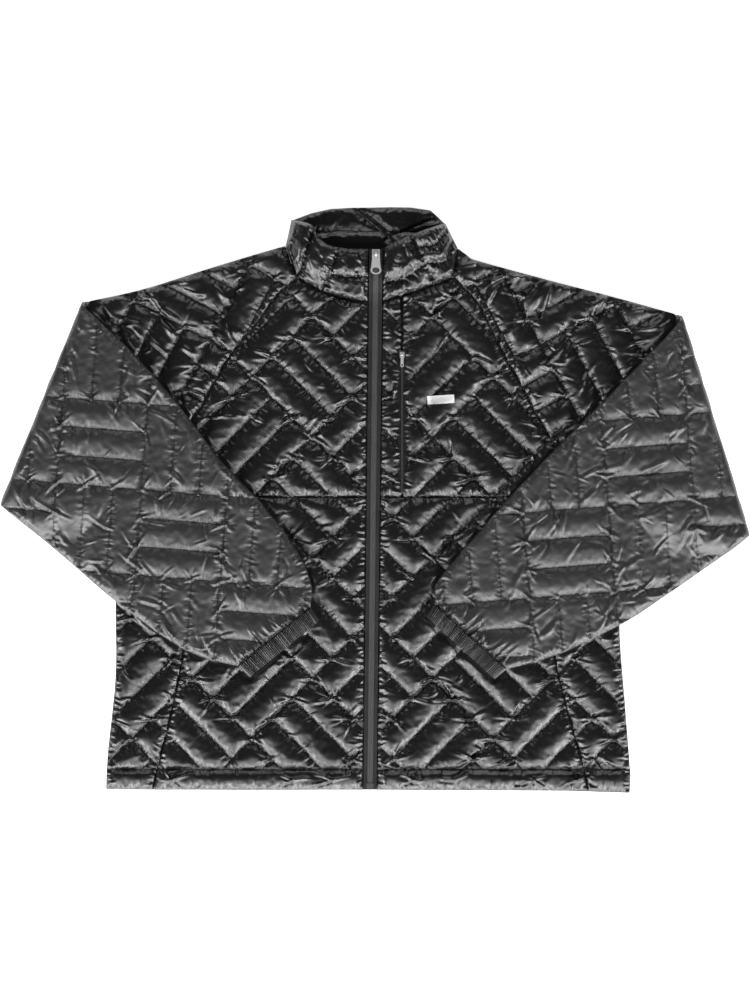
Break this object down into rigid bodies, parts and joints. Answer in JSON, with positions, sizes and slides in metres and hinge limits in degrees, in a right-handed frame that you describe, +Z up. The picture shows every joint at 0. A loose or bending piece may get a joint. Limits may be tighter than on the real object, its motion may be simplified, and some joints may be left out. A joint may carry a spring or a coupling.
{
  "type": "quilted jacket",
  "caption": "Padded quilted jacket with a stand collar and a full front zip, laid flat on its back with both raglan sleeves folded across the front.",
  "frame": {"origin": "on the surface that the jacket lies on, under the middle of its overall width and length", "axes": "+X across the jacket towards the wearer's left sleeve, +Y from hem to collar, +Z up, away from the surface"},
  "size_m": [0.895, 0.7019, 0.0267],
  "materials": {
    "shell": "satin black woven nylon, quilted",
    "sleeve_shell": "dull charcoal woven nylon, quilted",
    "tape": "matt black woven zip tape",
    "coil": "dark grey nylon coil",
    "metal": "bright plated zinc, lightly brushed",
    "label": "white woven satin, bare"
  },
  "bodies": {
    "jacket": {"back": "shell", "collar_back": "shell", "collar_right": "shell", "collar_left": "shell", "front_right_chest": "shell", "front_right_lower": "shell", "front_right_side": "shell", "front_left_placket": "shell", "front_left_chest": "shell", "front_left_lower": "shell", "front_left_side": "shell", "sleeve_right_front": "shell", "sleeve_left_front": "shell", "sleeve_right_back": "sleeve_shell", "sleeve_left_back": "sleeve_shell", "cuff_right": "sleeve_shell", "cuff_left": "sleeve_shell", "zip_tape_right": "tape", "zip_tape_left": "tape", "zip_coil": "coil", "zip_box": "coil", "pocket_coil": "coil", "zip_slider": "metal", "pocket_slider": "metal", "label": "label"},
    "zip_pull": {"zip_pull": "metal"},
    "pocket_pull": {"pocket_pull": "metal"}
  },
  "joints": [
    {"name": "zip_pull_hinge", "type": "hinge", "parent": "jacket", "child": "zip_pull", "pos_m": [0.00112, 0.2925, 0.02005], "axis": [1, 0, 0], "range_deg": [-150, 0]},
    {"name": "pocket_pull_hinge", "type": "hinge", "parent": "jacket", "child": "pocket_pull", "pos_m": [0.0324, 0.1735, 0.0111], "axis": [1, 0, 0], "range_deg": [-150, 0]}
  ]
}
